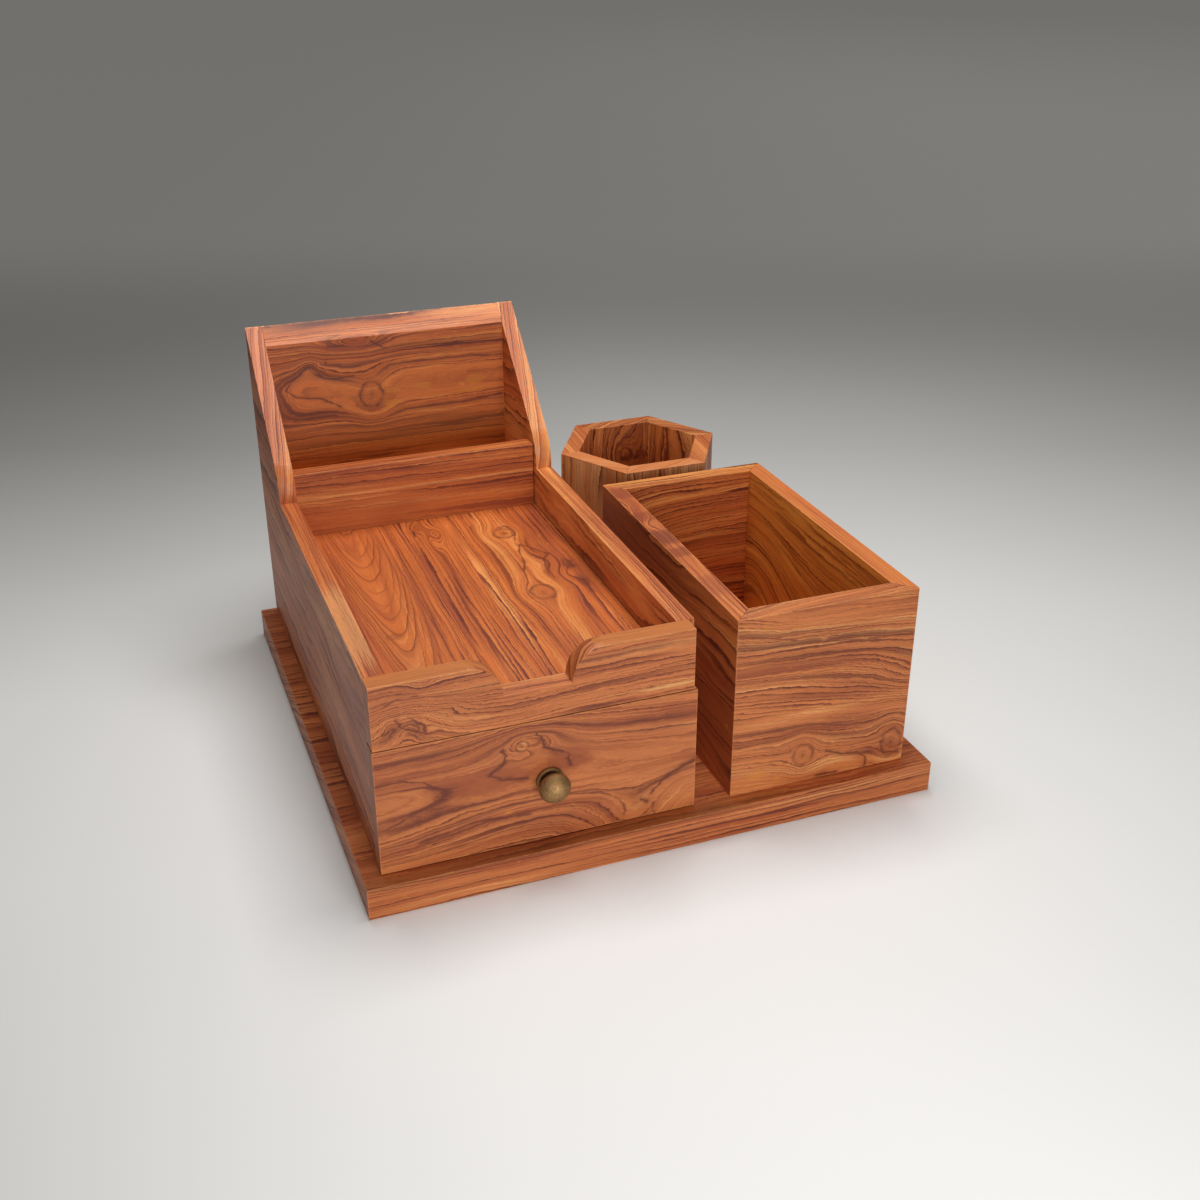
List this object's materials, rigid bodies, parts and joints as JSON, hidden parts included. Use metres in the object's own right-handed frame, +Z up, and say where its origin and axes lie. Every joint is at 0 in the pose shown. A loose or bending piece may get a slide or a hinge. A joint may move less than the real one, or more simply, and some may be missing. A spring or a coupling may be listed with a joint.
{
  "type": "desk organizer with drawer",
  "caption": "Wooden desk organizer on one base board: drawer cabinet with paper tray, finger scoop and letter rack, open mitred box and hexagonal pen cup.",
  "frame": {"origin": "middle of the base board's underside", "axes": "+X to the right seen from the drawer, +Y to the back, +Z up"},
  "size_m": [0.32, 0.325, 0.2124],
  "materials": {
    "teak": "satin oiled teak with strong dark figure",
    "antique_brass": "satin antiqued brass",
    "screw_brass": "turned brass",
    "screw_steel": "zinc plated",
    "dowel_beech": "plain fluted beech"
  },
  "bodies": {
    "organizer": {"base_board": "teak", "left_side": "teak", "right_side": "teak", "back_panel": "teak", "tray_floor": "teak", "rack_divider": "teak", "tray_front": "teak", "note_box_front": "teak", "note_box_right": "teak", "note_box_back": "teak", "note_box_left": "teak", "note_box_floor": "teak", "cup_stave_right_back": "teak", "cup_stave_back": "teak", "cup_stave_left_back": "teak", "cup_stave_left_front": "teak", "cup_stave_front": "teak", "cup_stave_right_front": "teak", "cup_floor": "teak", "cabinet_screws": "screw_brass", "note_box_screws": "screw_brass", "cup_screws": "screw_brass", "tray_floor_dowels": "dowel_beech", "back_panel_dowels": "dowel_beech", "tray_front_dowels": "dowel_beech"},
    "drawer": {"drawer_front": "teak", "drawer_inner_front": "teak", "drawer_left_side": "teak", "drawer_right_side": "teak", "drawer_back": "teak", "drawer_bottom": "teak", "knob": "antique_brass", "knob_rosette": "antique_brass", "knob_screw": "screw_steel", "drawer_front_screws": "screw_brass", "drawer_bottom_screws": "screw_brass"}
  },
  "joints": [
    {"name": "drawer_slide", "type": "slide", "parent": "organizer", "child": "drawer", "axis": [0, -1, 0], "range_m": [0, 0.2]}
  ]
}
